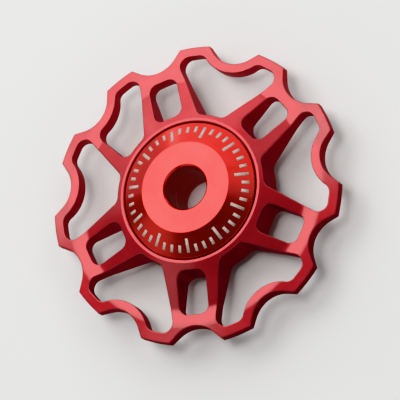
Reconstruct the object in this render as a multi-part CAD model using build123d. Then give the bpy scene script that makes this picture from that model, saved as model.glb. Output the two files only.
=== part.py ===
from build123d import *
import os
from math import cos, degrees, pi, radians, sin, sqrt

# A derailleur jockey wheel: an eleven-tooth wheel milled from one disc, a sealed ball bearing pressed into
# its hub, and two turned end caps whose spigots clamp the bearing's inner ring.
# Millimetres and degrees. The axle is the Z axis and the teeth lie across the plane z = 0.

# Chain
chain_pitch = 12.7
roller_diameter = 7.75
roller_clearance = 0.08

# Teeth and rim
tooth_count = 11
tooth_height = 2.35
flank_angle = 48.2
tip_thickness = 1.4
rim_thickness = 2.1
taper_reach = 2.55
flat_rim_width = 2.2
rim_strip = 1.35

# Spokes, in pairs that straddle every second valley between teeth
pair_gap = 4.15
pair_wall = 1.6
pair_ledge = 0.9
spoke_width_at_rim = 1.2
spoke_width_at_hub = 2.0
cutter_radius = 1.25

# Hub
hub_ledge = 0.6
lip_width = 0.5
lip_height = 0.55
recess_width = 2.65

# Bearing
bearing_bore = 8.0
bearing_diameter = 14.0
bearing_width = 4.0
ball_count = 7
ball_share = 0.66
ball_clearance = 0.02
groove_conformity = 1.05
shoulder_share = 0.125
seal_thickness = 0.25
seal_recess = 0.1
seal_seat = 0.35
seal_lip_gap = 0.08
cage_side_gap = 0.15
cage_end_gap = 0.1
cage_prong = 0.45
pocket_clearance = 0.06

# End caps
axle_bore_diameter = 6.1
mouth_chamfer = 0.2
overall_width = 8.3
boss_diameter = 12.7
spigot_end_gap = 0.1
cap_seat_margin = 0.15
cap_running_gap = 0.25
cap_edge = 0.3
cap_lip_gap = 0.15

# Tooth circles
tooth_angle = 2 * pi / tooth_count
pitch_radius = chain_pitch / (2 * sin(tooth_angle / 2))
valley_radius = roller_diameter / 2 + roller_clearance
root_radius = pitch_radius - valley_radius
tip_radius = root_radius + tooth_height
rim_half = rim_thickness / 2
step_radius = root_radius - flat_rim_width

# Hub circles and levels
seat_radius = bearing_diameter / 2
recess_radius = seat_radius + recess_width
lip_radius = recess_radius + lip_width
window_radius = lip_radius + hub_ledge
floor_level = bearing_width / 2
lip_level = floor_level + lip_height

# Bearing circles and levels
spigot_radius = bearing_bore / 2
ball_circle = (spigot_radius + seat_radius) / 2
ball_radius = ball_share * (seat_radius - spigot_radius) / 2
groove_radius = ball_radius * groove_conformity
shoulder_height = shoulder_share * 2 * ball_radius
groove_half_width = sqrt(groove_radius**2 - (groove_radius - shoulder_height) ** 2)
inner_groove = ball_circle - ball_radius - ball_clearance
outer_groove = ball_circle + ball_radius + ball_clearance
inner_land = inner_groove + shoulder_height
outer_land = outer_groove - shoulder_height
seal_radius = outer_land + seal_seat
seal_top = bearing_width / 2 - seal_recess
seal_level = seal_top - seal_thickness

# Cap circles and levels
bore_radius = axle_bore_diameter / 2
boss_radius = boss_diameter / 2
boss_level = overall_width / 2
cap_seat_radius = inner_land - cap_seat_margin
cap_radius = recess_radius - cap_lip_gap
skirt_level = floor_level + cap_running_gap


def turned(*edges):
    """Revolves the outline that the edges close, drawn as (radius, height), about the axle."""
    return revolve(Plane.XZ * make_face(edges), axis=Axis.Z)


def tooth_outline(inset):
    """The face inside the tooth outline, moved inwards by the inset all round."""
    lean = radians(flank_angle)
    flank = Vector(cos(lean), sin(lean))
    arc_radius = valley_radius + inset
    top_radius = tip_radius - inset
    foot = Vector(pitch_radius, 0) + Vector(-sin(lean), cos(lean)) * arc_radius
    along = foot.dot(flank)
    top = foot + flank * (sqrt(along**2 - foot.dot(foot) + top_radius**2) - along)
    next_foot = Vector(foot.X, -foot.Y).rotate(Axis.Z, degrees(tooth_angle))
    next_top = Vector(top.X, -top.Y).rotate(Axis.Z, degrees(tooth_angle))
    crest = Vector(top_radius * cos(tooth_angle / 2), top_radius * sin(tooth_angle / 2))

    valley = ThreePointArc((foot.X, -foot.Y), (pitch_radius - arc_radius, 0), foot)
    rising = Line(foot, top)
    crown = ThreePointArc(top, crest, next_top)
    falling = Line(next_top, next_foot)
    edges = [
        edge.rotate(Axis.Z, degrees(index * tooth_angle))
        for index in range(tooth_count)
        for edge in (valley, rising, crown, falling)
    ]
    return Face(Wire(edges))


def spoke_strip(first, second):
    """A strip along +X, from the axle to past the teeth, between two (at hub, at rim) pairs of edges."""
    start, end = 0, 2 * tip_radius
    run = (root_radius - pair_wall) - window_radius

    def lateral(edge, radius):
        return edge[0] + (edge[1] - edge[0]) * (radius - window_radius) / run

    corners = [(start, lateral(first, start)), (end, lateral(first, end))]
    corners += [(end, lateral(second, end)), (start, lateral(second, start))]
    return make_face(Polyline(corners, close=True))


def wide_windows():
    """The faces of the wide windows between hub, rim strip and spokes, rounded as a cutter leaves them."""
    inner_edge = (pair_gap / 2, pair_gap / 2)
    outer_edge = (pair_gap / 2 + spoke_width_at_hub, pair_gap / 2 + spoke_width_at_rim)
    far_edge = (-outer_edge[0], -outer_edge[1])
    spokes = []
    for valley in range(0, tooth_count, 2):
        single = valley == 0 and tooth_count % 2 == 1
        strip = spoke_strip(outer_edge, inner_edge if single else far_edge)
        spokes.append(strip.rotate(Axis.Z, degrees(valley * tooth_angle)))
    openings = Sketch() + tooth_outline(rim_strip) - Circle(window_radius) - spokes
    return [offset(offset(face, amount=-cutter_radius), amount=cutter_radius) for face in openings.faces()]


def pair_windows():
    """The faces of the narrow windows between the two spokes of each pair."""
    start = lip_radius + pair_ledge
    length = root_radius - pair_wall - start
    middle = start + length / 2
    window = Pos(middle, 0) * RectangleRounded(length, pair_gap, cutter_radius)
    first = 2 if tooth_count % 2 == 1 else 0
    return [window.rotate(Axis.Z, degrees(valley * tooth_angle)) for valley in range(first, tooth_count, 2)]


def toothed_wheel():
    """The one-piece wheel: a turned disc, cut to the tooth outline and pierced by the windows."""
    upper = [
        (seat_radius, floor_level),
        (recess_radius, floor_level),
        (recess_radius, lip_level),
        (lip_radius, lip_level),
        (step_radius, rim_half),
        (tip_radius - taper_reach, rim_half),
        (tip_radius, tip_thickness / 2),
    ]
    lower = [(radius, -height) for radius, height in reversed(upper)]
    disc = turned(Polyline(upper + lower, close=True))
    blank = extrude(tooth_outline(0), amount=lip_level, both=True)
    wheel = disc & blank
    for window in wide_windows() + pair_windows():
        wheel -= extrude(window, amount=lip_level, both=True)
    return wheel


def end_cap():
    """The front cap: spigot, seat on the inner ring, skirt in the hub's recess, cone and flat boss."""
    section = [
        (bore_radius, spigot_end_gap / 2),
        (spigot_radius, spigot_end_gap / 2),
        (spigot_radius, floor_level),
        (cap_seat_radius, floor_level),
        (cap_seat_radius, skirt_level),
        (cap_radius, skirt_level),
        (cap_radius, skirt_level + cap_edge),
        (boss_radius, boss_level),
        (bore_radius + mouth_chamfer, boss_level),
        (bore_radius, boss_level - mouth_chamfer),
    ]
    return turned(Polyline(section, close=True))


def race_groove(land, bottom):
    """The round groove that the balls run in, drawn from the ring's rear land to its front land."""
    return ThreePointArc((land, -groove_half_width), (bottom, 0), (land, groove_half_width))


def bearing_inner_ring():
    """The inner ring: a plain bore inside, a ball groove between two lands outside."""
    half = bearing_width / 2
    section = [
        (inner_land, groove_half_width),
        (inner_land, half),
        (spigot_radius, half),
        (spigot_radius, -half),
        (inner_land, -half),
        (inner_land, -groove_half_width),
    ]
    return turned(race_groove(inner_land, inner_groove), Polyline(section))


def bearing_outer_ring():
    """The outer ring: a ball groove inside, with a stepped seat for a seal at each face."""
    half = bearing_width / 2
    front = [
        (outer_land, groove_half_width),
        (outer_land, seal_level),
        (seal_radius, seal_level),
        (seal_radius, half),
        (seat_radius, half),
    ]
    rear = [(radius, -height) for radius, height in reversed(front)]
    return turned(race_groove(outer_land, outer_groove), Polyline(front + rear))


def bearing_seal():
    """The front seal: a flat rubber ring that stops just short of the inner ring."""
    lip = inner_land + seal_lip_gap
    section = [(lip, seal_level), (seal_radius, seal_level), (seal_radius, seal_top), (lip, seal_top)]
    return turned(Polyline(section, close=True))


def ball_places():
    """The ball centres, evenly spaced on the ball circle, each turned to face outwards."""
    return PolarLocations(ball_circle, ball_count).locations


def bearing_cage():
    """The crown cage: a ring behind the balls, with prongs that reach up between them and hold them."""
    inner = inner_land + cage_side_gap
    outer = outer_land - cage_side_gap
    back = -seal_level + cage_end_gap
    section = [(inner, back), (outer, back), (outer, cage_prong), (inner, cage_prong)]
    pocket = Rot(0, 90, 0) * Cylinder(ball_radius + pocket_clearance, outer_land - inner_land + ball_radius)
    return turned(Polyline(section, close=True)) - [place * pocket for place in ball_places()]


cap = end_cap()
seal = bearing_seal()
parts = {
    "toothed_wheel": toothed_wheel(),
    "front_cap": cap,
    "rear_cap": mirror(cap, about=Plane.XY),
    "bearing_outer_ring": bearing_outer_ring(),
    "bearing_inner_ring": bearing_inner_ring(),
    "bearing_cage": bearing_cage(),
    "bearing_front_seal": seal,
    "bearing_rear_seal": mirror(seal, about=Plane.XY),
}
for number, place in enumerate(ball_places(), start=1):
    parts[f"bearing_ball_{number:02d}"] = place * Sphere(ball_radius)

os.makedirs("parts", exist_ok=True)
for name, part in parts.items():
    export_step(part, f"parts/{name}.step")
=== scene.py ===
"""The looks of a derailleur jockey wheel: fine meshes with broken edges, finishes, studio and camera."""
import logging
import math
from collections import defaultdict
from dataclasses import dataclass, field
from enum import Enum

import bmesh
import bpy
from mathutils import Matrix, Vector
from mathutils.geometry import delaunay_2d_cdt
from mathutils.kdtree import KDTree


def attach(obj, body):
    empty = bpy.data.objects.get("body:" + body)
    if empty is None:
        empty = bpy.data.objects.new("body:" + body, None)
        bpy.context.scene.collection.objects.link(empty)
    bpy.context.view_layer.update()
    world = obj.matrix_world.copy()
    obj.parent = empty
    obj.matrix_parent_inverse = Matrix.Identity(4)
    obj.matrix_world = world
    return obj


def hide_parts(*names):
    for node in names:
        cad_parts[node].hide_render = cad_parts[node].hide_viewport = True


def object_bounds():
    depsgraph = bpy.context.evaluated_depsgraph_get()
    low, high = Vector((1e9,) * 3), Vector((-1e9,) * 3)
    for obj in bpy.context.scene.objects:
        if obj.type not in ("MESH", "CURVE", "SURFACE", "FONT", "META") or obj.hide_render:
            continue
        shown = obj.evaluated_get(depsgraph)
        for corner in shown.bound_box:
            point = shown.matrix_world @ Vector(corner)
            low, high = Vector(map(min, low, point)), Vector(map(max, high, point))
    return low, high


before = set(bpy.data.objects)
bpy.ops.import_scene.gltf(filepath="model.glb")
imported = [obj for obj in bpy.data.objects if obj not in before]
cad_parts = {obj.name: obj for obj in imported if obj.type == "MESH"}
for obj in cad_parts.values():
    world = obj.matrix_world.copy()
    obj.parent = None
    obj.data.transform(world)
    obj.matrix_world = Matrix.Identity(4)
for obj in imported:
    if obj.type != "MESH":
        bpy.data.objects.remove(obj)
CAD_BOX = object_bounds()

# Short names for types
Socket = bpy.types.NodeSocket
Span = tuple[float, float]

# Units in metres
MILLIMETRE = 0.001
MICRON = 0.000001

# The values between which most of a noise lies, and the whole range of a share
NOISE_SPAN: Span = (0.3, 0.7)
WHOLE_SPAN: Span = (0.0, 1.0)

# The name of the edge wear and painted highlight stored on the meshes, and the log
EDGE_WEAR_AND_HIGHLIGHT = "edge_wear_and_highlight"
log = logging.getLogger("jockey_wheel")


class Body(Enum):
    """The bodies that the pieces ride on."""

    HUB = "hub"
    WHEEL = "wheel"


class Slot(Enum):
    """Names of the red material slots of the wheel and the caps, which the script does not use."""

    WHEEL_RED = "wheel_red"
    CAP_RED = "cap_red"


class Side(Enum):
    """The two sides of the wheel, by the sign of their height along the axle."""

    FRONT = 1
    REAR = -1


@dataclass(frozen=True)
class Colour:
    """A colour in linear light."""

    red: float
    green: float
    blue: float

    def rgba(self) -> tuple[float, float, float, float]:
        """Gives the four numbers that a colour socket takes."""
        return self.red, self.green, self.blue, 1.0


class FinishBench:
    """One material with its shader, and short calls that add and join its nodes."""

    def __init__(self, name: str) -> None:
        """Starts an empty finish.

        Args:
            name: the material's name.
        """
        self.material = bpy.data.materials.new(name)
        self.material.use_nodes = True
        self.tree = self.material.node_tree
        self.shader = self.tree.nodes["Principled BSDF"]

    def node(self, kind: str, **settings: object) -> bpy.types.Node:
        """Adds one node.

        Args:
            kind: the node's Blender type.
            settings: the node's own properties.

        Returns:
            The new node.
        """
        made = self.tree.nodes.new(kind)
        for name, value in settings.items():
            setattr(made, name, value)
        return made

    def join(self, source: Socket, target: Socket) -> None:
        """Links an output to an input."""
        self.tree.links.new(source, target)

    def feed(self, source: Socket, name: str) -> None:
        """Links an output to one of the shader's own inputs."""
        self.join(source, self.shader.inputs[name])

    def set(self, constants: dict[str, float]) -> None:
        """Sets the shader's constant inputs by name."""
        for name, value in constants.items():
            self.shader.inputs[name].default_value = value

    def times(self, first: Socket, second: Socket) -> Socket:
        """Multiplies two values.

        Args:
            first: the one value.
            second: the other value.

        Returns:
            Their product.
        """
        made = self.node("ShaderNodeMath", operation="MULTIPLY")
        self.join(first, made.inputs[0])
        self.join(second, made.inputs[1])
        return made.outputs[0]

    def place(self) -> Socket:
        """Gives the place on the piece, in the piece's own frame and in metres."""
        return self.node("ShaderNodeTexCoord").outputs["Object"]

    def turned_place(self) -> Socket:
        """Works out the place as (distance from the axle, height, 0), the same all round a turned face.

        Returns:
            That place, in metres.
        """
        parts = self.node("ShaderNodeSeparateXYZ")
        self.join(self.place(), parts.inputs[0])
        flat = self.node("ShaderNodeCombineXYZ")
        self.join(parts.outputs["X"], flat.inputs["X"])
        self.join(parts.outputs["Y"], flat.inputs["Y"])
        reach = self.node("ShaderNodeVectorMath", operation="LENGTH")
        self.join(flat.outputs[0], reach.inputs[0])
        turned = self.node("ShaderNodeCombineXYZ")
        self.join(reach.outputs["Value"], turned.inputs["X"])
        self.join(parts.outputs["Z"], turned.inputs["Y"])
        return turned.outputs[0]

    def noise(self, place: Socket, grain: float, detail: float = 2.0) -> Socket:
        """Adds a noise.

        Args:
            place: the coordinates that it is read at, in metres.
            grain: the size of its blotches, in metres.
            detail: how many finer octaves it has.

        Returns:
            The noise, from 0 to 1.
        """
        made = self.node("ShaderNodeTexNoise")
        made.inputs["Scale"].default_value = 1 / grain
        made.inputs["Detail"].default_value = detail
        self.join(place, made.inputs["Vector"])
        return made.outputs["Fac"]

    def mapped(self, value: Socket, source: Span, target: Span) -> Socket:
        """Maps one span of values to another.

        Args:
            value: what is mapped.
            source: the two ends of the span that it comes from.
            target: the two ends of the span that it goes to.

        Returns:
            The mapped value, held within the target.
        """
        made = self.node("ShaderNodeMapRange")
        self.join(value, made.inputs["Value"])
        ends = ("From Min", "From Max", "To Min", "To Max")
        for end, number in zip(ends, source + target):
            made.inputs[end].default_value = number
        return made.outputs["Result"]

    def ramp(self, value: Socket, low: Colour, high: Colour, span: Span = NOISE_SPAN) -> Socket:
        """Runs from one colour to another.

        Args:
            value: what the ramp reads.
            low: the colour at the lower end of the span and below it.
            high: the colour at the upper end of the span and above it.
            span: the two ends between which the colours blend.

        Returns:
            The colour.
        """
        made = self.node("ShaderNodeValToRGB")
        for element, place, colour in zip(made.color_ramp.elements, span, (low, high)):
            element.position = place
            element.color = colour.rgba()
        self.join(value, made.inputs["Fac"])
        return made.outputs["Color"]

    def blend(self, share: Socket, first: Socket, second: Colour) -> Socket:
        """Blends a colour over another.

        Args:
            share: how much of the second colour shows, from 0 to 1.
            first: the colour underneath.
            second: the colour on top.

        Returns:
            The blended colour.
        """
        made = self.node("ShaderNodeMix", data_type="RGBA")
        self.join(share, made.inputs["Factor"])
        self.join(first, made.inputs["A"])
        made.inputs["B"].default_value = second.rgba()
        return made.outputs["Result"]

    def relief(self, height: Socket, depth: float) -> None:
        """Presses a height pattern into the surface.

        Args:
            height: the pattern, from 0 to 1.
            depth: its depth in metres.
        """
        made = self.node("ShaderNodeBump")
        made.inputs["Distance"].default_value = depth
        self.join(height, made.inputs["Height"])
        self.feed(made.outputs["Normal"], "Normal")


@dataclass(frozen=True)
class AnodisedFinish:
    """Dyed, sealed aluminium: fine turning marks, uneven dye and paler edges (partly edge wear, partly a
    painted highlight) under a clear sealed layer.

    Lengths are in metres.
    """

    name: str
    deep_dye: Colour
    even_dye: Colour
    worn_and_highlight_dye: Colour
    roughness: Span
    mark_depth: float
    coat: float
    coat_roughness: float = 0.12
    coat_index: float = 1.6
    mark_pitch: float = 0.18 * MILLIMETRE
    mark_detail: float = 3.0
    cloud: float = 4.5 * MILLIMETRE
    cloud_detail: float = 4.0
    cloud_span: Span = (0.35, 0.65)
    rub: float = 1.2 * MILLIMETRE
    rub_strength: Span = (0.35, 1.0)

    def material(self) -> bpy.types.Material:
        """Builds the material.

        Returns:
            The finished material.
        """
        bench = FinishBench(self.name)
        place = bench.place()
        clouds = bench.noise(place, self.cloud, self.cloud_detail)
        dye = bench.ramp(clouds, self.deep_dye, self.even_dye, self.cloud_span)
        # Paler dye along the rounded edges: partly edge wear, partly a painted highlight on them
        edges = bench.node("ShaderNodeAttribute", attribute_name=EDGE_WEAR_AND_HIGHLIGHT).outputs["Fac"]
        rubbing = bench.mapped(bench.noise(place, self.rub), NOISE_SPAN, self.rub_strength)
        bench.feed(bench.blend(bench.times(edges, rubbing), dye, self.worn_and_highlight_dye), "Base Color")
        marks = bench.noise(bench.turned_place(), self.mark_pitch, self.mark_detail)
        bench.feed(bench.mapped(marks, NOISE_SPAN, self.roughness), "Roughness")
        bench.relief(marks, self.mark_depth)
        bench.set({
            "Metallic": 1.0,
            "Coat Weight": self.coat,
            "Coat Roughness": self.coat_roughness,
            "Coat IOR": self.coat_index,
        })
        return bench.material


@dataclass(frozen=True)
class GrainedFinish:
    """Two close colours in one grain, which also sets the gloss and the relief.

    Lengths are in metres.
    """

    name: str
    light: Colour
    dark: Colour
    roughness: Span
    grain: float
    depth: float
    detail: float = 4.0
    colour_span: Span = NOISE_SPAN
    metallic: float = 0.0

    def place(self, bench: FinishBench) -> Socket:
        """Gives the place that the grain is read at."""
        return bench.place()

    def material(self) -> bpy.types.Material:
        """Builds the material.

        Returns:
            The finished material.
        """
        bench = FinishBench(self.name)
        grains = bench.noise(self.place(bench), self.grain, self.detail)
        bench.feed(bench.ramp(grains, self.dark, self.light, self.colour_span), "Base Color")
        bench.feed(bench.mapped(grains, NOISE_SPAN, self.roughness), "Roughness")
        bench.relief(grains, self.depth)
        bench.set({"Metallic": self.metallic})
        return bench.material


@dataclass(frozen=True)
class SteelFinish(GrainedFinish):
    """Bearing steel, whose grain is the marks that grinding or polishing leaves round it."""

    detail: float = 3.0
    metallic: float = 1.0

    def place(self, bench: FinishBench) -> Socket:
        """Gives the place that the marks are read at, the same all round."""
        return bench.turned_place()


@dataclass(frozen=True)
class GradedFinish:
    """Matt card that runs from a dark end to a pale one; seen only in the metal, this run paints darker and
    lighter reflections.

    The pale end's direction is a bearing from +X in degrees, and the half run is in metres.
    """

    name: str
    dark: Colour
    pale: Colour
    pale_bearing: float
    half_run: float
    roughness: float = 0.8

    def material(self) -> bpy.types.Material:
        """Builds the material.

        Returns:
            The finished material.
        """
        bench = FinishBench(self.name)
        turn = math.radians(self.pale_bearing)
        along = bench.node("ShaderNodeVectorMath", operation="DOT_PRODUCT")
        bench.join(bench.place(), along.inputs[0])
        along.inputs[1].default_value = Vector((math.cos(turn), math.sin(turn), 0.0))
        whole_run = (-self.half_run, self.half_run)
        share = bench.mapped(along.outputs["Value"], whole_run, WHOLE_SPAN)
        bench.feed(bench.ramp(share, self.dark, self.pale, WHOLE_SPAN), "Base Color")
        bench.set({"Roughness": self.roughness})
        return bench.material


@dataclass
class Skin:
    """Gathers points with their true surface normals, and faces, into one smooth skin."""

    points: list[Vector] = field(default_factory=list)
    normals: list[Vector] = field(default_factory=list)
    # Share of paler edge colour at each point: part wear, part painted highlight
    wear: list[float] = field(default_factory=list)
    faces: list[tuple[int, ...]] = field(default_factory=list)

    def point(self, place: Vector, normal: Vector, wear: float = 0.0) -> int:
        """Adds one point.

        Args:
            place: where it is, in millimetres.
            normal: the surface's direction there.
            wear: how much paler edge colour shows there, partly rubbed finish and partly painted highlight,
                from 0 to 1.

        Returns:
            The point's number.
        """
        self.points.append(place * MILLIMETRE)
        self.normals.append(normal.normalized())
        self.wear.append(wear)
        return len(self.points) - 1

    def band(self, first: list[int], second: list[int]) -> None:
        """Joins two closed rings of equal length with four-sided faces.

        Args:
            first: the numbers of the one ring's points, in order.
            second: the numbers of the other ring's points, in the same order.
        """
        for index in range(len(first)):
            after = (index + 1) % len(first)
            self.faces.append((first[index], first[after], second[after], second[index]))

    def piece(self, name: str, finish: bpy.types.Material) -> bpy.types.Object:
        """Makes the object.

        Args:
            name: the piece's name.
            finish: its material.

        Returns:
            The new object, in the scene.
        """
        mesh = bpy.data.meshes.new(name)
        mesh.from_pydata(self.points, [], self.faces)
        shell = bmesh.new()
        shell.from_mesh(mesh)
        bmesh.ops.recalc_face_normals(shell, faces=shell.faces)
        shell.to_mesh(mesh)
        shell.free()
        mesh.shade_smooth()
        if self.normals:
            mesh.normals_split_custom_set_from_vertices(self.normals)
        mesh.attributes.new(EDGE_WEAR_AND_HIGHLIGHT, "FLOAT", "POINT").data.foreach_set("value", self.wear)
        mesh.materials.append(finish)
        piece = bpy.data.objects.new(name, mesh)
        bpy.context.scene.collection.objects.link(piece)
        return piece


@dataclass(frozen=True)
class Corner:
    """One corner of a turned section, in millimetres, and the radius that its edge is rounded to."""

    radius: float
    height: float
    edge: float = 0.0

    def place(self) -> Vector:
        """Gives the corner as (radius, height)."""
        return Vector((self.radius, self.height))


@dataclass
class TurnedSection:
    """A section drawn with the metal on its left, which a lathe turns about the axle."""

    corners: list[Corner]
    closed: bool = True
    edge_wear_and_highlight: float = 1.0
    arc_steps: int = 5
    segments: int = 192

    def outline(self) -> list[tuple[Vector, Vector, float]]:
        """Rounds the corners.

        Returns:
            Each point of the section, with the direction that the surface faces there and its share of
            paler edge colour, part wear and part painted highlight.
        """
        made: list[tuple[Vector, Vector, float]] = []
        last = len(self.corners) - 1
        for index, corner in enumerate(self.corners):
            here = corner.place()
            arriving = (here - self.corners[index - 1].place()).normalized()
            leaving = (self.corners[(index + 1) % len(self.corners)].place() - here).normalized()
            if not self.closed and index in (0, last):
                along = leaving if index == 0 else arriving
                made.append((here, Vector((along.y, -along.x)), 0.0))
                continue
            turn = math.atan2(arriving.cross(leaving), arriving.dot(leaving))
            facing = Vector((arriving.y, -arriving.x))
            swing = math.copysign(corner.edge, turn)
            start = here - arriving * corner.edge * math.tan(abs(turn) / 2)
            for step in range(self.arc_steps + 1):
                share = step / self.arc_steps
                turned = Matrix.Rotation(turn * share, 2) @ facing
                # The paler edge colour, part wear and part painted highlight, peaks halfway round each
                # outward rounding
                wear = self.edge_wear_and_highlight * math.sin(math.pi * share) if turn > 0 else 0.0
                made.append((start + (turned - facing) * swing, turned, wear))
        return made

    def spin(self, skin: Skin, side: Side = Side.FRONT) -> list[list[int]]:
        """Turns the section about the axle.

        Args:
            skin: takes the points and faces.
            side: REAR turns its mirror image.

        Returns:
            The numbers of each ring's points, ring by ring along the section.
        """
        rings = []
        for place, facing, wear in self.outline():
            ring = []
            for step in range(self.segments):
                around = Matrix.Rotation(math.tau * step / self.segments, 3, "Z")
                spot = Vector((place.x, 0, place.y * side.value))
                normal = Vector((facing.x, 0, facing.y * side.value))
                ring.append(skin.point(around @ spot, around @ normal, wear))
            rings.append(ring)
        for first, second in zip(rings, rings[1:]):
            skin.band(first, second)
        if self.closed:
            skin.band(rings[-1], rings[0])
        return rings


@dataclass
class CutEdge:
    """One upright wall's outline, with the metal on its left, and its rounded edge, in millimetres."""

    outline: list[Vector]
    edge: float
    steps: int = 4
    least_cosine: float = 0.5

    def directions(self) -> list[tuple[Vector, float]]:
        """Works out how each point moves when the outline is inset.

        Returns:
            At each point, the way into the metal and how far a unit of inset moves it.
        """
        made = []
        count = len(self.outline)
        for index, here in enumerate(self.outline):
            arriving = (here - self.outline[index - 1]).normalized()
            leaving = (self.outline[(index + 1) % count] - here).normalized()
            along = (arriving + leaving).normalized()
            inwards = Vector((-along.y, along.x))
            made.append((inwards, 1 / max(along.dot(leaving), self.least_cosine)))
        return made

    def inset(self, distance: float) -> list[Vector]:
        """Gives the outline moved into the metal by a distance."""
        ways = self.directions()
        return [here + inwards * stretch * distance for here, (inwards, stretch) in zip(self.outline, ways)]


@dataclass
class FacePlan:
    """The plan of the wheel's two faces: its border rings, each point with the way into the metal."""

    places: list[Vector] = field(default_factory=list)
    inwards: list[Vector] = field(default_factory=list)
    borders: list[tuple[int, int]] = field(default_factory=list)

    def add_ring(self, places: list[Vector], inwards: list[Vector]) -> None:
        """Adds one closed border.

        Args:
            places: its points in order, in millimetres.
            inwards: the way into the metal at each point.
        """
        start = len(self.places)
        self.places += places
        self.inwards += inwards
        self.borders += [(start + step, start + (step + 1) % len(places)) for step in range(len(places))]

    def depths(self, places: list[Vector]) -> list[float]:
        """Measures how far places lie inside the metal.

        Args:
            places: the places, in millimetres.

        Returns:
            The distance of each from the nearest border, negative outside the metal.
        """
        tree = KDTree(len(self.places))
        for index, place in enumerate(self.places):
            tree.insert(place.to_3d(), index)
        tree.balance()
        made = []
        for place in places:
            border, index, distance = tree.find(place.to_3d())
            made.append(math.copysign(distance, (place - border.xy).dot(self.inwards[index])))
        return made

    def inside(self, places: list[Vector], margin: float) -> list[Vector]:
        """Gives the places that lie deeper in the metal than a margin."""
        return [place for place, depth in zip(places, self.depths(places)) if depth > margin]

    def net(self, inner: list[Vector]) -> list[list[int]]:
        """Covers the metal with triangles.

        Args:
            inner: places inside the metal that the triangles use too.

        Returns:
            Each triangle's three places, numbered through the borders and then the inner places.
        """
        whole_hull = 0
        closeness = 1e-6
        filled = delaunay_2d_cdt(self.places + inner, self.borders, [], whole_hull, closeness)
        _, _, faces, sources, _, _ = filled
        triangles = [[sources[corner][0] for corner in face] for face in faces]
        beside: dict[frozenset[int], list[int]] = defaultdict(list)
        for number, triangle in enumerate(triangles):
            for side in self.sides(triangle):
                beside[side].append(number)
        walls = {frozenset(border) for border in self.borders}
        reached = [number for number, triangle in enumerate(triangles) if max(triangle) >= len(self.places)]
        metal = set(reached)
        while reached:
            open_sides = [side for side in self.sides(triangles[reached.pop()]) if side not in walls]
            found = {number for side in open_sides for number in beside[side]} - metal
            metal |= found
            reached += found
        return [triangles[number] for number in sorted(metal)]

    @staticmethod
    def sides(triangle: list[int]) -> list[frozenset[int]]:
        """Gives a triangle's three sides, each as the two places that it joins."""
        return [frozenset(pair) for pair in zip(triangle, triangle[1:] + triangle[:1])]


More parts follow.
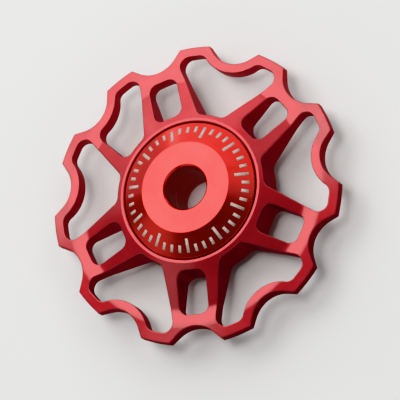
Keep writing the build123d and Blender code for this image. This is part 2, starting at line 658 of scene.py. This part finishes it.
@dataclass
class ToothedWheel:
    """The one-piece toothed wheel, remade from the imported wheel's outlines with broken edges.

    Sizes are in millimetres. The circles and levels at the end follow from the sizes above them.
    """

    finish: AnodisedFinish
    seat_radius: float = 7.0
    recess_width: float = 2.65
    lip_width: float = 0.5
    collar_width: float = 0.27
    floor_level: float = 2.0
    lip_height: float = 0.55
    root_radius: float = 18.584
    tooth_height: float = 2.35
    flat_rim_width: float = 2.2
    taper_reach: float = 2.55
    rim_half: float = 1.05
    tip_half: float = 0.7
    edge: float = 0.14
    lip_edge: float = 0.24
    # How much paler edge colour the lip's roundings get: part wear, part painted highlight
    lip_wear_and_highlight: float = 0.3
    seat_edge: float = 0.1
    crease: float = 1.0
    crease_step: float = 0.4
    crease_margin: float = 0.12
    nearest: float = 0.03
    grid: float = 0.6
    fewest_rows: int = 2
    wall_step: float = 0.45
    weld: float = 0.0002
    upright_limit: float = 0.02
    node: str = "toothed_wheel"
    recess_radius: float = field(init=False)
    lip_radius: float = field(init=False)
    collar_radius: float = field(init=False)
    lip_level: float = field(init=False)
    tip_radius: float = field(init=False)
    step_radius: float = field(init=False)
    taper_radius: float = field(init=False)

    def __post_init__(self) -> None:
        """Works out the circles and levels that follow from the sizes."""
        self.recess_radius = self.seat_radius + self.recess_width
        self.lip_radius = self.recess_radius + self.lip_width
        self.collar_radius = self.lip_radius + self.collar_width
        self.lip_level = self.floor_level + self.lip_height
        self.tip_radius = self.root_radius + self.tooth_height
        self.step_radius = self.root_radius - self.flat_rim_width
        self.taper_radius = self.tip_radius - self.taper_reach

    def bends(self) -> list[tuple[float, float]]:
        """Works out where the upper face changes slope, starting at the lip.

        Returns:
            Each such circle's radius, with the slope outside it.
        """
        corners = [
            (self.lip_radius, self.lip_level),
            (self.step_radius, self.rim_half),
            (self.taper_radius, self.rim_half),
            (self.tip_radius, self.tip_half),
        ]
        runs = zip(corners, corners[1:])
        return [(inner, (end - start) / (outer - inner)) for (inner, start), (outer, end) in runs]

    def level(self, radius: float) -> float:
        """Works out the upper face's height, with its bends eased.

        Args:
            radius: the distance from the axle.

        Returns:
            The height above the middle of the wheel.
        """
        (lip, slope), *bends = self.bends()
        height = self.lip_level + slope * (radius - lip)
        for bend, new_slope in bends:
            height += (new_slope - slope) * self.eased(radius - bend)
            slope = new_slope
        return height

    def eased(self, past: float) -> float:
        """Eases a bend, so that the face turns within the width of the crease.

        Args:
            past: how far a place is outside the bend, negative inside it.

        Returns:
            The same for a place outside the crease, 0 for one inside it, and a smooth rise between.
        """
        half = self.crease / 2
        if abs(past) < half:
            return (past + half) ** 2 / (4 * half)
        return max(past, 0.0)

    def creases(self) -> list[tuple[float, float, float]]:
        """Gives each bend's crease outside the lip: its inner border, its middle and its outer border."""
        half = self.crease / 2
        return [(bend - half, bend, bend + half) for bend, _ in self.bends()[1:]]

    def crease_circles(self) -> list[float]:
        """Gives the three circles of every crease in one row, from the inside outwards."""
        return [circle for crease in self.creases() for circle in crease]

    def facing(self, place: Vector) -> Vector:
        """Works out the upper face's direction.

        Args:
            place: the plan place.

        Returns:
            The direction, of unit length.
        """
        radius = place.length
        reach = self.weld
        slope = (self.level(radius + reach) - self.level(radius - reach)) / (2 * reach)
        outwards = place.normalized()
        return Vector((-slope * outwards.x, -slope * outwards.y, 1)).normalized()

    def outlines(self) -> list[list[Vector]]:
        """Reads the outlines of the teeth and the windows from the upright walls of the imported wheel.

        Returns:
            Closed plan outlines in millimetres, the teeth first, each with the metal on its left.
        """
        walls = bmesh.new()
        walls.from_mesh(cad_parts[self.node].data)
        bmesh.ops.remove_doubles(walls, verts=walls.verts, dist=self.weld * MILLIMETRE)
        walls.normal_update()
        beside: dict[bmesh.types.BMVert, list[bmesh.types.BMVert]] = defaultdict(list)
        for border in walls.edges:
            upright = [abs(face.normal.z) < self.upright_limit for face in border.link_faces]
            first, second = border.verts
            if sorted(upright) == [False, True] and first.co.z > 0 and second.co.z > 0:
                beside[first].append(second)
                beside[second].append(first)
        found = []
        while beside:
            before = next(iter(beside))
            here = beside[before][0]
            chain = [before]
            while here is not chain[0]:
                chain.append(here)
                first, second = beside[here]
                here, before = (second if first is before else first), here
            for vertex in chain:
                del beside[vertex]
            plan = [vertex.co.xy / MILLIMETRE for vertex in chain]
            if min(place.length for place in plan) > self.lip_radius:
                found.append(plan)
        walls.free()
        found.sort(key=lambda plan: -max(place.length for place in plan))
        return [self.refined(plan, clockwise=index > 0) for index, plan in enumerate(found)]

    def refined(self, plan: list[Vector], clockwise: bool) -> list[Vector]:
        """Sets an outline's direction and divides its long straight runs.

        Args:
            plan: the outline.
            clockwise: the direction wanted.

        Returns:
            The outline with closer points.
        """
        pairs = list(zip(plan, plan[1:] + plan[:1]))
        area = sum(first.cross(second) for first, second in pairs)
        if (area < 0) != clockwise:
            return self.refined(plan[::-1], clockwise)
        made = []
        for first, second in pairs:
            count = max(1, math.ceil((second - first).length / self.wall_step))
            made += [first.lerp(second, step / count) for step in range(count)]
        return self.creased(made)

    def creased(self, plan: list[Vector]) -> list[Vector]:
        """Adds a point to an outline wherever the face beside it crosses a circle of a crease.

        Args:
            plan: the outline, with the metal on its left.

        Returns:
            The outline with those points.
        """
        circles = self.crease_circles()
        reaches = [place.length for place in CutEdge(plan, self.edge).inset(self.edge)]
        made = []
        for index, here in enumerate(plan):
            after = (index + 1) % len(plan)
            start, end = reaches[index], reaches[after]
            crossed = [circle for circle in circles if (start - circle) * (end - circle) < 0]
            shares = sorted((circle - start) / (end - start) for circle in crossed)
            room = self.nearest / (plan[after] - here).length
            made += [here] + [here.lerp(plan[after], share) for share in shares if room < share < 1 - room]
        return made

    def circle(self, radius: float, spacing: float, turned: bool = False) -> list[Vector]:
        """Lays out plan points round a circle.

        Args:
            radius: the circle's radius, in millimetres.
            spacing: about how far apart the points are.
            turned: whether they are turned on by half a step.

        Returns:
            The points.
        """
        count = round(math.tau * radius / spacing)
        angles = [math.tau * (step + turned / 2) / count for step in range(count)]
        return [Vector((radius * math.cos(angle), radius * math.sin(angle))) for angle in angles]

    def grid_points(self, plan: FacePlan) -> list[Vector]:
        """Lays out the inner points of the faces on circles, close together along the creases.

        Args:
            plan: the faces' borders, which the points stay clear of.

        Returns:
            The plan places.
        """
        creases = self.creases()
        starts = [self.collar_radius] + [outer for _, _, outer in creases]
        ends = [inner for inner, _, _ in creases] + [self.tip_radius]
        open_face = []
        for start, end in zip(starts, ends):
            count = max(self.fewest_rows, round((end - start) / self.grid))
            for step in range(1, count):
                radius = start + (end - start) * step / count
                open_face += self.circle(radius, self.grid, turned=step % 2 == 1)
        circles = self.crease_circles()
        folds = [place for radius in circles for place in self.circle(radius, self.crease_step)]
        return plan.inside(open_face, self.grid / 2) + plan.inside(folds, self.crease_margin)

    def hub_section(self) -> TurnedSection:
        """Draws the hub from the upper face, over lip, recess and bearing seat, to the lower face.

        Returns:
            The open section.
        """
        upper = [
            Corner(self.collar_radius, self.level(self.collar_radius)),
            Corner(self.lip_radius, self.lip_level, self.lip_edge),
            Corner(self.recess_radius, self.lip_level, self.lip_edge),
            Corner(self.recess_radius, self.floor_level, self.seat_edge),
            Corner(self.seat_radius, self.floor_level, self.seat_edge),
        ]
        lower = [Corner(corner.radius, -corner.height, corner.edge) for corner in reversed(upper)]
        return TurnedSection(upper + lower, closed=False, edge_wear_and_highlight=self.lip_wear_and_highlight)

    def skin(self) -> Skin:
        """Builds the whole surface: walls, rounded edges, the two faces and the turned hub.

        Returns:
            The closed skin.
        """
        skin = Skin()
        plan = FacePlan()
        numbers: dict[Side, list[int]] = {side: [] for side in Side}
        for outline in self.outlines():
            cut = CutEdge(outline, self.edge)
            walls = {side: self.rounded_edge(skin, cut, side, numbers[side]) for side in Side}
            skin.band(walls[Side.FRONT], walls[Side.REAR])
            plan.add_ring(cut.inset(self.edge), [inwards for inwards, _ in cut.directions()])
        hub_rings = self.hub_section().spin(skin)
        numbers[Side.FRONT] += hub_rings[0]
        numbers[Side.REAR] += hub_rings[-1]
        collar = [skin.points[index].xy / MILLIMETRE for index in hub_rings[0]]
        plan.add_ring(collar, [place.normalized() for place in collar])
        inner = self.grid_points(plan)
        triangles = plan.net(inner)
        for side in Side:
            for place in inner:
                facing = self.facing(place)
                spot = Vector((place.x, place.y, self.level(place.length) * side.value))
                numbers[side].append(skin.point(spot, Vector((facing.x, facing.y, facing.z * side.value))))
            skin.faces += [tuple(numbers[side][corner] for corner in triangle) for triangle in triangles]
        return skin

    def rounded_edge(self, skin: Skin, cut: CutEdge, side: Side, rim: list[int]) -> list[int]:
        """Builds the rounded edge between a wall and one face.

        Args:
            skin: takes the points and faces.
            cut: the wall's outline.
            side: the face.
            rim: takes the numbers of the points where the edge runs into the face.

        Returns:
            The numbers of the points where the edge runs into the wall.
        """
        rings = []
        ways = cut.directions()
        for step in range(cut.steps + 1):
            lift = math.pi / 2 * step / cut.steps
            inset = cut.edge * (1 - math.cos(lift))
            drop = cut.edge * (1 - math.sin(lift))
            ring = []
            for here, (inwards, stretch) in zip(cut.outline, ways):
                place = here + inwards * stretch * inset
                height = (self.level(place.length) - drop) * side.value
                facing = self.facing(place) * math.sin(lift) - inwards.to_3d() * math.cos(lift)
                facing.z *= side.value
                # The paler edge colour, part wear and part painted highlight, peaks halfway round the
                # rounded edge
                ring.append(skin.point(Vector((place.x, place.y, height)), facing, math.sin(2 * lift)))
            rings.append(ring)
        for first, second in zip(rings, rings[1:]):
            skin.band(first, second)
        rim += rings[-1]
        return rings[0]

    def build(self) -> bpy.types.Object:
        """Builds and dresses the wheel.

        Returns:
            The piece, riding on the wheel body.
        """
        piece = self.skin().piece("milled_wheel", self.finish.material())
        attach(piece, Body.WHEEL.value)
        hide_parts(self.node)
        return piece


@dataclass
class EndCap:
    """One turned end cap: spigot, seat, skirt in the hub's recess, cone and flat boss.

    Sizes are in millimetres.
    """

    side: Side
    finish: bpy.types.Material
    bore_radius: float = 3.05
    mouth_chamfer: float = 0.2
    spigot_radius: float = 4.0
    spigot_end: float = 0.05
    seat_radius: float = 4.5875
    seat_level: float = 2.0
    skirt_level: float = 2.25
    skirt_radius: float = 9.5
    skirt_top: float = 2.55
    boss_radius: float = 6.35
    boss_level: float = 4.15
    fine_edge: float = 0.06
    boss_edge: float = 0.16
    skirt_edge: float = 0.12

    def section(self) -> TurnedSection:
        """Draws the front cap's section, with its edges broken.

        Returns:
            The closed section.
        """
        return TurnedSection([
            Corner(self.bore_radius, self.spigot_end, self.fine_edge),
            Corner(self.spigot_radius, self.spigot_end, self.fine_edge),
            Corner(self.spigot_radius, self.seat_level, self.fine_edge),
            Corner(self.seat_radius, self.seat_level, self.fine_edge),
            Corner(self.seat_radius, self.skirt_level, self.fine_edge),
            Corner(self.skirt_radius, self.skirt_level, self.fine_edge),
            Corner(self.skirt_radius, self.skirt_top, self.skirt_edge),
            Corner(self.boss_radius, self.boss_level, self.boss_edge),
            Corner(self.bore_radius + self.mouth_chamfer, self.boss_level, self.fine_edge),
            Corner(self.bore_radius, self.boss_level - self.mouth_chamfer, self.fine_edge),
        ])

    def cone(self, share: float) -> Vector:
        """Gives the (radius, height) of a place on the cone, from its foot at 0 to the boss at 1."""
        foot = Vector((self.skirt_radius, self.skirt_top))
        return foot.lerp(Vector((self.boss_radius, self.boss_level)), share)

    def build(self) -> bpy.types.Object:
        """Builds and dresses the cap.

        Returns:
            The piece, riding on the hub body.
        """
        name = self.side.name.lower()
        skin = Skin()
        self.section().spin(skin, self.side)
        piece = skin.piece(f"{name}_end_cap", self.finish)
        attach(piece, Body.HUB.value)
        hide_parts(f"{name}_cap")
        return piece


@dataclass
class ConeTicks:
    """A plain scale of ticks round the front cap's cone, every fourth one long.

    Lengths are in millimetres, and places along the cone are shares of it from its foot.
    """

    cap: EndCap
    finish: GrainedFinish
    count: int = 44
    long_every: int = 4
    foot_share: float = 0.2
    short_share: float = 0.5
    long_share: float = 0.76
    width: float = 0.42
    proud: float = 0.012
    sunk: float = 0.02

    def tick(self, skin: Skin, index: int) -> None:
        """Builds one tick as a thin raised bar that runs up the cone.

        Args:
            skin: takes the points and faces.
            index: the tick's place in the scale.
        """
        foot = self.foot_share
        top = self.short_share if index % self.long_every else self.long_share
        rise = self.cap.cone(1.0) - self.cap.cone(0.0)
        facing = Vector((rise.y, -rise.x)).normalized()
        around = Matrix.Rotation(math.tau * index / self.count, 3, "Z")
        rows = []
        for depth in (-self.sunk, self.proud):
            row = []
            for share, across in ((foot, -1), (foot, 1), (top, 1), (top, -1)):
                place = self.cap.cone(share) + facing * depth
                spot = Vector((place.x, across * self.width / 2, place.y))
                row.append(skin.point(around @ spot, around @ Vector((facing.x, 0, facing.y))))
            rows.append(row)
        skin.band(*rows)
        skin.faces += [tuple(row) for row in rows]

    def build(self) -> bpy.types.Object:
        """Builds and dresses the scale.

        Returns:
            The piece, riding on the hub body.
        """
        skin = Skin()
        for index in range(self.count):
            self.tick(skin, index)
        skin.normals.clear()
        piece = skin.piece("front_cap_ticks", self.finish.material())
        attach(piece, Body.HUB.value)
        return piece


@dataclass
class SealedBearing:
    """The sealed ball bearing inside the hub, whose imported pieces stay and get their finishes."""

    ring_finish: SteelFinish
    ball_finish: SteelFinish
    cage_finish: GrainedFinish
    seal_finish: GrainedFinish

    def dress(self) -> list[bpy.types.Object]:
        """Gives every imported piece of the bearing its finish.

        Returns:
            The dressed pieces.
        """
        finishes = {
            "ring": self.ring_finish.material(),
            "ball": self.ball_finish.material(),
            "cage": self.cage_finish.material(),
            "seal": self.seal_finish.material(),
        }
        dressed = []
        for name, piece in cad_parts.items():
            for kind, finish in finishes.items():
                if name.startswith("bearing") and kind in name.split("_"):
                    piece.data.materials.clear()
                    piece.data.materials.append(finish)
                    dressed.append(piece)
        return dressed


@dataclass(frozen=True)
class Softbox:
    """A soft studio light that looks at the wheel.

    Its direction is a bearing from +X and a tilt from overhead, in degrees. Lengths are in metres.
    """

    name: str
    bearing: float
    tilt: float
    distance: float
    width: float
    height: float
    brightness: float
    seen_in_metal: bool = True

    def build(self) -> bpy.types.Object:
        """Hangs the light.

        Returns:
            The light.
        """
        lamp = bpy.data.lights.new(self.name, "AREA")
        lamp.shape = "RECTANGLE"
        lamp.size = self.width
        lamp.size_y = self.height
        lamp.energy = self.brightness * math.pi * self.width * self.height
        light = bpy.data.objects.new(self.name, lamp)
        turn, lean = math.radians(self.bearing), math.radians(self.tilt)
        back = Vector((math.cos(turn) * math.sin(lean), math.sin(turn) * math.sin(lean), math.cos(lean)))
        light.location = back * self.distance
        light.rotation_mode = "QUATERNION"
        light.rotation_quaternion = back.to_track_quat("Z", "Y")
        light.visible_camera = False
        light.visible_glossy = self.seen_in_metal
        bpy.context.scene.collection.objects.link(light)
        return light


@dataclass
class Studio:
    """The pale floor, a card that paints graded reflections into the metal's walls, the soft lights and the
    camera.

    Lengths are in millimetres, angles in degrees, and the axle's place in pixels of the picture.
    """

    softboxes: tuple[Softbox, ...]
    floor_finish: GrainedFinish
    card_finish: GradedFinish
    floor_half: float = 1500.0
    card_hole: float = 6.0
    card_radius: float = 150.0
    card_depth: float = 0.05
    room_colour: Colour = Colour(1.0, 1.0, 1.0)
    room_light: float = 0.11
    picture_side: int = 400
    pixels_per_mm: float = 7.36
    axle_pixel: tuple[float, float] = (196.8, 195.1)
    tilt: float = 27.6
    lean: float = 183.5
    roll: float = 34.0
    camera_distance: float = 550.0
    sensor: float = 36.0
    near_share: float = 0.1

    def lay_floor(self) -> bpy.types.Object:
        """Lays a plain floor under the wheel, which lets light through to the card below it.

        Returns:
            The floor.
        """
        level = CAD_BOX[0].z
        reach = self.floor_half * MILLIMETRE
        corners = [(x * reach, y * reach, level) for x, y in ((-1, -1), (1, -1), (1, 1), (-1, 1))]
        mesh = bpy.data.meshes.new("floor")
        mesh.from_pydata(corners, [], [tuple(range(len(corners)))])
        mesh.materials.append(self.floor_finish.material())
        floor = bpy.data.objects.new("floor", mesh)
        bpy.context.scene.collection.objects.link(floor)
        floor.visible_glossy = False
        floor.visible_shadow = False
        return floor

    def lay_card(self) -> bpy.types.Object:
        """Lays a ring of red card just under the floor, which only the metal sees, so that its run from
        dark to pale paints reflections on the walls.

        Returns:
            The card.
        """
        level = CAD_BOX[0].z / MILLIMETRE - self.card_depth
        ring = [Corner(self.card_radius, level), Corner(self.card_hole, level)]
        skin = Skin()
        TurnedSection(ring, closed=False).spin(skin)
        skin.normals.clear()
        card = skin.piece("painted_reflection_card", self.card_finish.material())
        card.visible_camera = False
        card.visible_diffuse = False
        card.visible_shadow = False
        return card

    def light(self) -> None:
        """Hangs the softboxes, and sets the room's own dim light and the way that colours are shown."""
        for softbox in self.softboxes:
            softbox.build()
        room = bpy.data.worlds.new("room")
        room.use_nodes = True
        glow = room.node_tree.nodes["Background"]
        glow.inputs["Color"].default_value = self.room_colour.rgba()
        glow.inputs["Strength"].default_value = self.room_light
        bpy.context.scene.world = room
        bpy.context.scene.view_settings.view_transform = "Khronos PBR Neutral"

    def set_camera(self) -> bpy.types.Object:
        """Sets the camera at the photograph's angle, with the axle where the photograph has it.

        Returns:
            The camera.
        """
        tilt, lean, roll = (math.radians(angle) for angle in (self.tilt, self.lean, self.roll))
        towards = Vector((math.cos(lean), math.sin(lean), 0))
        across = Vector((math.sin(lean), -math.cos(lean), 0))
        overhead = Vector((0, 0, 1))
        back = towards * math.sin(tilt) + overhead * math.cos(tilt)
        down_slope = towards * math.cos(tilt) - overhead * math.sin(tilt)
        right = down_slope * math.cos(roll) - across * math.sin(roll)
        up = -(down_slope * math.sin(roll) + across * math.cos(roll))
        distance = self.camera_distance * MILLIMETRE
        pixel = MILLIMETRE / self.pixels_per_mm
        aside = (self.picture_side / 2 - self.axle_pixel[0]) * pixel
        below = (self.picture_side / 2 - self.axle_pixel[1]) * pixel
        lens = bpy.data.cameras.new("camera")
        lens.sensor_width = self.sensor
        lens.lens = self.sensor * distance / (self.picture_side * pixel)
        lens.clip_start = distance * self.near_share
        camera = bpy.data.objects.new("camera", lens)
        place = back * distance + right * aside - up * below
        camera.matrix_world = Matrix.Translation(place) @ Matrix((right, up, back)).transposed().to_4x4()
        bpy.context.scene.collection.objects.link(camera)
        bpy.context.scene.camera = camera
        return camera


# Finishes of the metal
# The worn dye in each anodised finish is its paler edge colour: partly wear, partly a painted highlight
WHEEL_FINISH = AnodisedFinish(
    "red_anodised_wheel",
    deep_dye=Colour(0.47, 0.031, 0.038),
    even_dye=Colour(0.57, 0.044, 0.053),
    worn_and_highlight_dye=Colour(0.68, 0.115, 0.125),
    roughness=(0.35, 0.45),
    mark_depth=0.9 * MICRON,
    coat=0.9,
)
CAP_FINISH = AnodisedFinish(
    "red_anodised_cap",
    deep_dye=Colour(0.72, 0.030, 0.026),
    even_dye=Colour(0.80, 0.043, 0.032),
    worn_and_highlight_dye=Colour(0.86, 0.13, 0.11),
    roughness=(0.28, 0.34),
    mark_depth=0.3 * MICRON,
    coat=0.5,
)
RING_FINISH = SteelFinish(
    "ground_steel",
    light=Colour(0.60, 0.61, 0.62),
    dark=Colour(0.48, 0.49, 0.50),
    roughness=(0.2, 0.32),
    grain=0.1 * MILLIMETRE,
    depth=1.0 * MICRON,
)
BALL_FINISH = SteelFinish(
    "ball_steel",
    light=Colour(0.66, 0.67, 0.68),
    dark=Colour(0.60, 0.61, 0.62),
    roughness=(0.05, 0.1),
    grain=0.3 * MILLIMETRE,
    depth=0.2 * MICRON,
)

# Finishes of the marking, the mouldings and the stage
TICK_FINISH = GrainedFinish(
    "pale_ticks",
    light=Colour(0.74, 0.62, 0.57),
    dark=Colour(0.50, 0.34, 0.31),
    roughness=(0.5, 0.65),
    grain=0.12 * MILLIMETRE,
    depth=4.0 * MICRON,
    detail=3.0,
    colour_span=(0.35, 0.6),
)
CAGE_FINISH = GrainedFinish(
    "cage_nylon",
    light=Colour(0.74, 0.68, 0.54),
    dark=Colour(0.66, 0.59, 0.45),
    roughness=(0.4, 0.55),
    grain=0.4 * MILLIMETRE,
    depth=4.0 * MICRON,
)
SEAL_FINISH = GrainedFinish(
    "seal_rubber",
    light=Colour(0.03, 0.03, 0.032),
    dark=Colour(0.018, 0.018, 0.02),
    roughness=(0.55, 0.7),
    grain=0.2 * MILLIMETRE,
    depth=5.0 * MICRON,
)
FLOOR_FINISH = GrainedFinish(
    "pale_floor",
    light=Colour(0.90, 0.90, 0.89),
    dark=Colour(0.88, 0.88, 0.87),
    roughness=(0.6, 0.8),
    grain=20.0 * MILLIMETRE,
    depth=10.0 * MICRON,
)
# A red card seen only in the metal: its run from dark to pale is a painted reflection, darker on one side
# of the wheel's walls and lighter on the other
CARD_FINISH = GradedFinish(
    "painted_reflection_card",
    dark=Colour(0.17, 0.05, 0.06),
    pale=Colour(0.62, 0.18, 0.20),
    pale_bearing=-30.0,
    half_run=18.0 * MILLIMETRE,
)

# Each light's name, bearing, tilt, distance, width, height and brightness
SOFTBOXES = (
    Softbox("main_softbox", -1.5, 30.0, 0.6, 0.355, 0.355, 2.7),
    Softbox("upper_softbox", -52.0, 60.0, 0.6, 0.95, 0.5, 1.05),
    Softbox("left_softbox", 62.0, 64.0, 0.6, 0.36, 0.36, 0.6),
    Softbox("front_softbox", 9.0, 54.0, 0.6, 0.28, 0.18, 0.72),
    Softbox("low_softbox", 2.0, 76.0, 0.6, 0.5, 0.2, 0.77),
    Softbox("side_softbox", -110.0, 41.0, 0.6, 0.28, 0.26, 0.88),
    Softbox("left_fill", 57.0, 29.0, 0.6, 0.16, 0.14, 0.82),
    Softbox("right_fill", -46.0, 28.0, 0.6, 0.16, 0.14, 0.66),
    Softbox("far_softbox", 106.0, 76.0, 0.7, 0.5, 0.25, 0.88),
    Softbox("rear_softbox", 178.0, 72.0, 0.7, 0.9, 0.3, 0.88),
    Softbox("overhead_fill", 0.0, 0.0, 0.8, 0.24, 0.24, 11.0, seen_in_metal=False),
)


def main() -> None:
    """Builds the wheel, its caps, its bearing's finishes and the studio, in order."""
    logging.basicConfig(level=logging.INFO, format="%(name)s: %(message)s")
    log.info("built %s", ToothedWheel(WHEEL_FINISH).build().name)
    cap_material = CAP_FINISH.material()
    caps = {side: EndCap(side, cap_material) for side in Side}
    for cap in caps.values():
        log.info("built %s", cap.build().name)
    log.info("built %s", ConeTicks(caps[Side.FRONT], TICK_FINISH).build().name)
    for piece in SealedBearing(RING_FINISH, BALL_FINISH, CAGE_FINISH, SEAL_FINISH).dress():
        log.info("dressed %s", piece.name)
    studio = Studio(SOFTBOXES, FLOOR_FINISH, CARD_FINISH)
    log.info("laid %s", studio.lay_floor().name)
    log.info("laid %s", studio.lay_card().name)
    studio.light()
    log.info("set %s", studio.set_camera().name)


if __name__ == "__main__":
    main()
